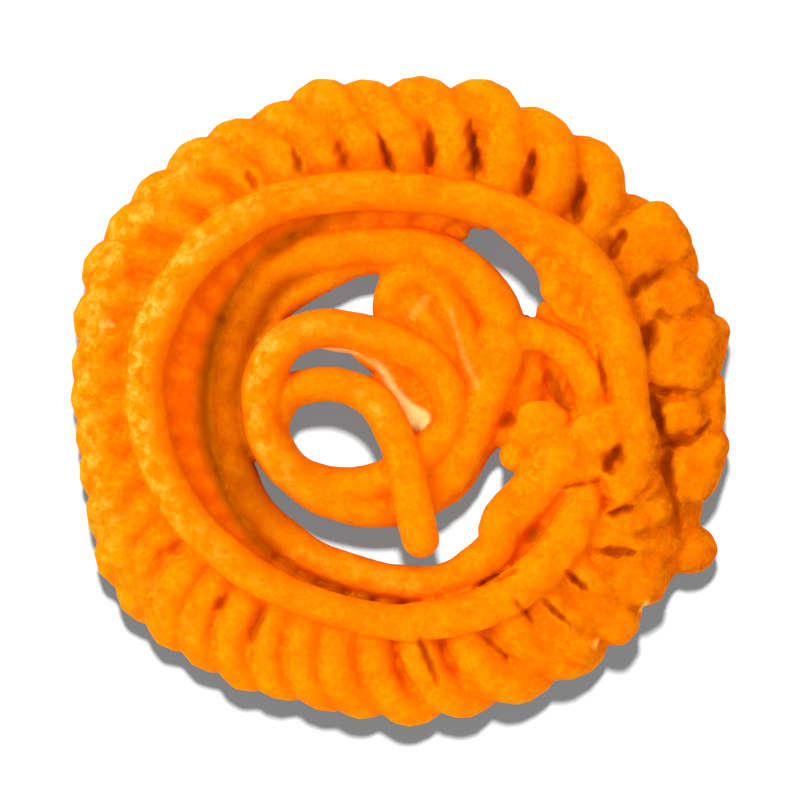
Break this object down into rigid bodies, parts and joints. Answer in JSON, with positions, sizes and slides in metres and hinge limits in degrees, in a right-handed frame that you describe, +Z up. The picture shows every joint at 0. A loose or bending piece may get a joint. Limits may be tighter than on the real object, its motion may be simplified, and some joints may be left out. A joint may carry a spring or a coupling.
{
  "type": "jalebi",
  "caption": "Ring-shaped fried sweet: a strand of batter coiled in the middle, carried round as a ring and edged with a frill of overlapping loops.",
  "frame": {"origin": "middle of the outline, on the surface that the sweet lies on", "axes": "+Z up out of the face with the top ring; +X towards the side with the knobby lumps; +Y towards the side with the fine loops"},
  "size_m": [0.0994, 0.098, 0.0131],
  "materials": {
    "syrup_glazed_batter": "glossy, sticky syrup glaze"
  },
  "bodies": {
    "root": {"jalebi": "syrup_glazed_batter"}
  },
  "joints": []
}
